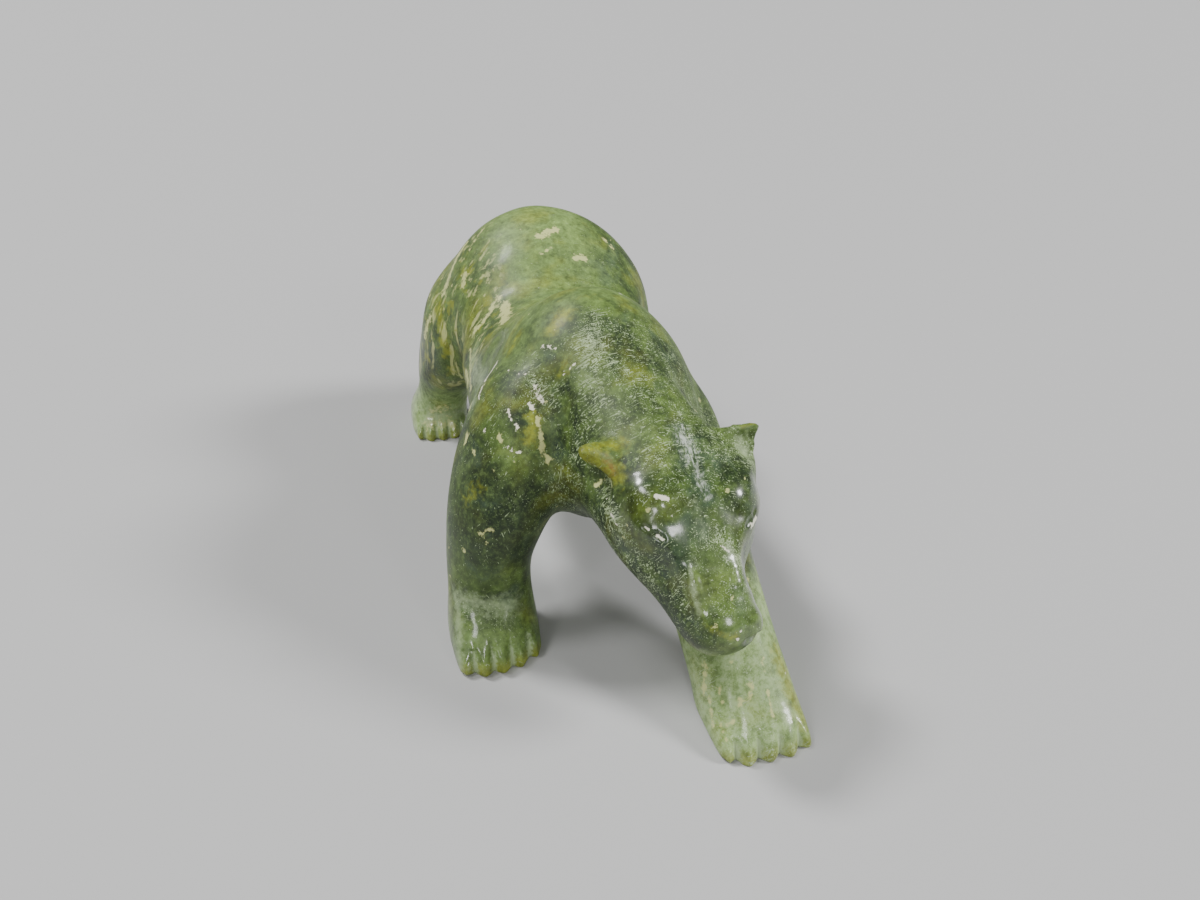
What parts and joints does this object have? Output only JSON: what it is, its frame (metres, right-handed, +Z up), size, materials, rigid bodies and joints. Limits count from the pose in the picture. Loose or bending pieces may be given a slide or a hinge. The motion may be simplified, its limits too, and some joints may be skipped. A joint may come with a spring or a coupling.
{
  "type": "bear carving",
  "caption": "Solid polished green soapstone carving of a polar bear walking with its head lowered, standing on flat-soled paws.",
  "frame": {"origin": "on the surface that the paws stand on, below the middle of the bounding box", "axes": "+Z up, -Y the way the bear walks and its nose points, so that +X is the bear's left"},
  "size_m": [0.1056, 0.2462, 0.0964],
  "materials": {
    "green_soapstone": "polished"
  },
  "bodies": {
    "root": {"polar_bear": "green_soapstone"}
  },
  "joints": []
}
